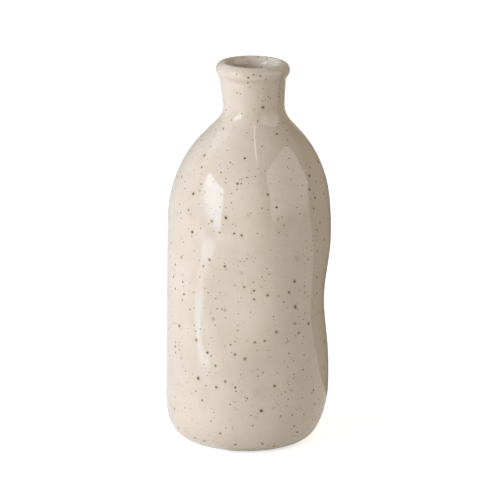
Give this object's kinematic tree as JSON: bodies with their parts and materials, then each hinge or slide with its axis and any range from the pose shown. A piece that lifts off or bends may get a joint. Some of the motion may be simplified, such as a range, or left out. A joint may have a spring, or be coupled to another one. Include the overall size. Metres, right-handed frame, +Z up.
{
  "type": "bottle vase",
  "caption": "Hand-pressed stoneware bottle vase with a wide belly, rounded shoulder, short neck and rolled lip, glazed inside and out over a bare foot ring.",
  "frame": {"origin": "on the surface the vase stands on, under the middle of its outline", "axes": "+Z up; +X the way the vase leans and the side with the pressed waist hollow; -Y the side the picture shows"},
  "size_m": [0.1076, 0.1075, 0.2504],
  "materials": {
    "stoneware": "bare fired clay, matt and slightly gritty",
    "speckled_glaze": "glossy cream glaze with brown and black iron specks",
    "liner_glaze": "glossy cream liner glaze"
  },
  "bodies": {
    "root": {"stoneware_body": "stoneware", "outer_glaze": "speckled_glaze", "inner_glaze": "liner_glaze"}
  },
  "joints": []
}
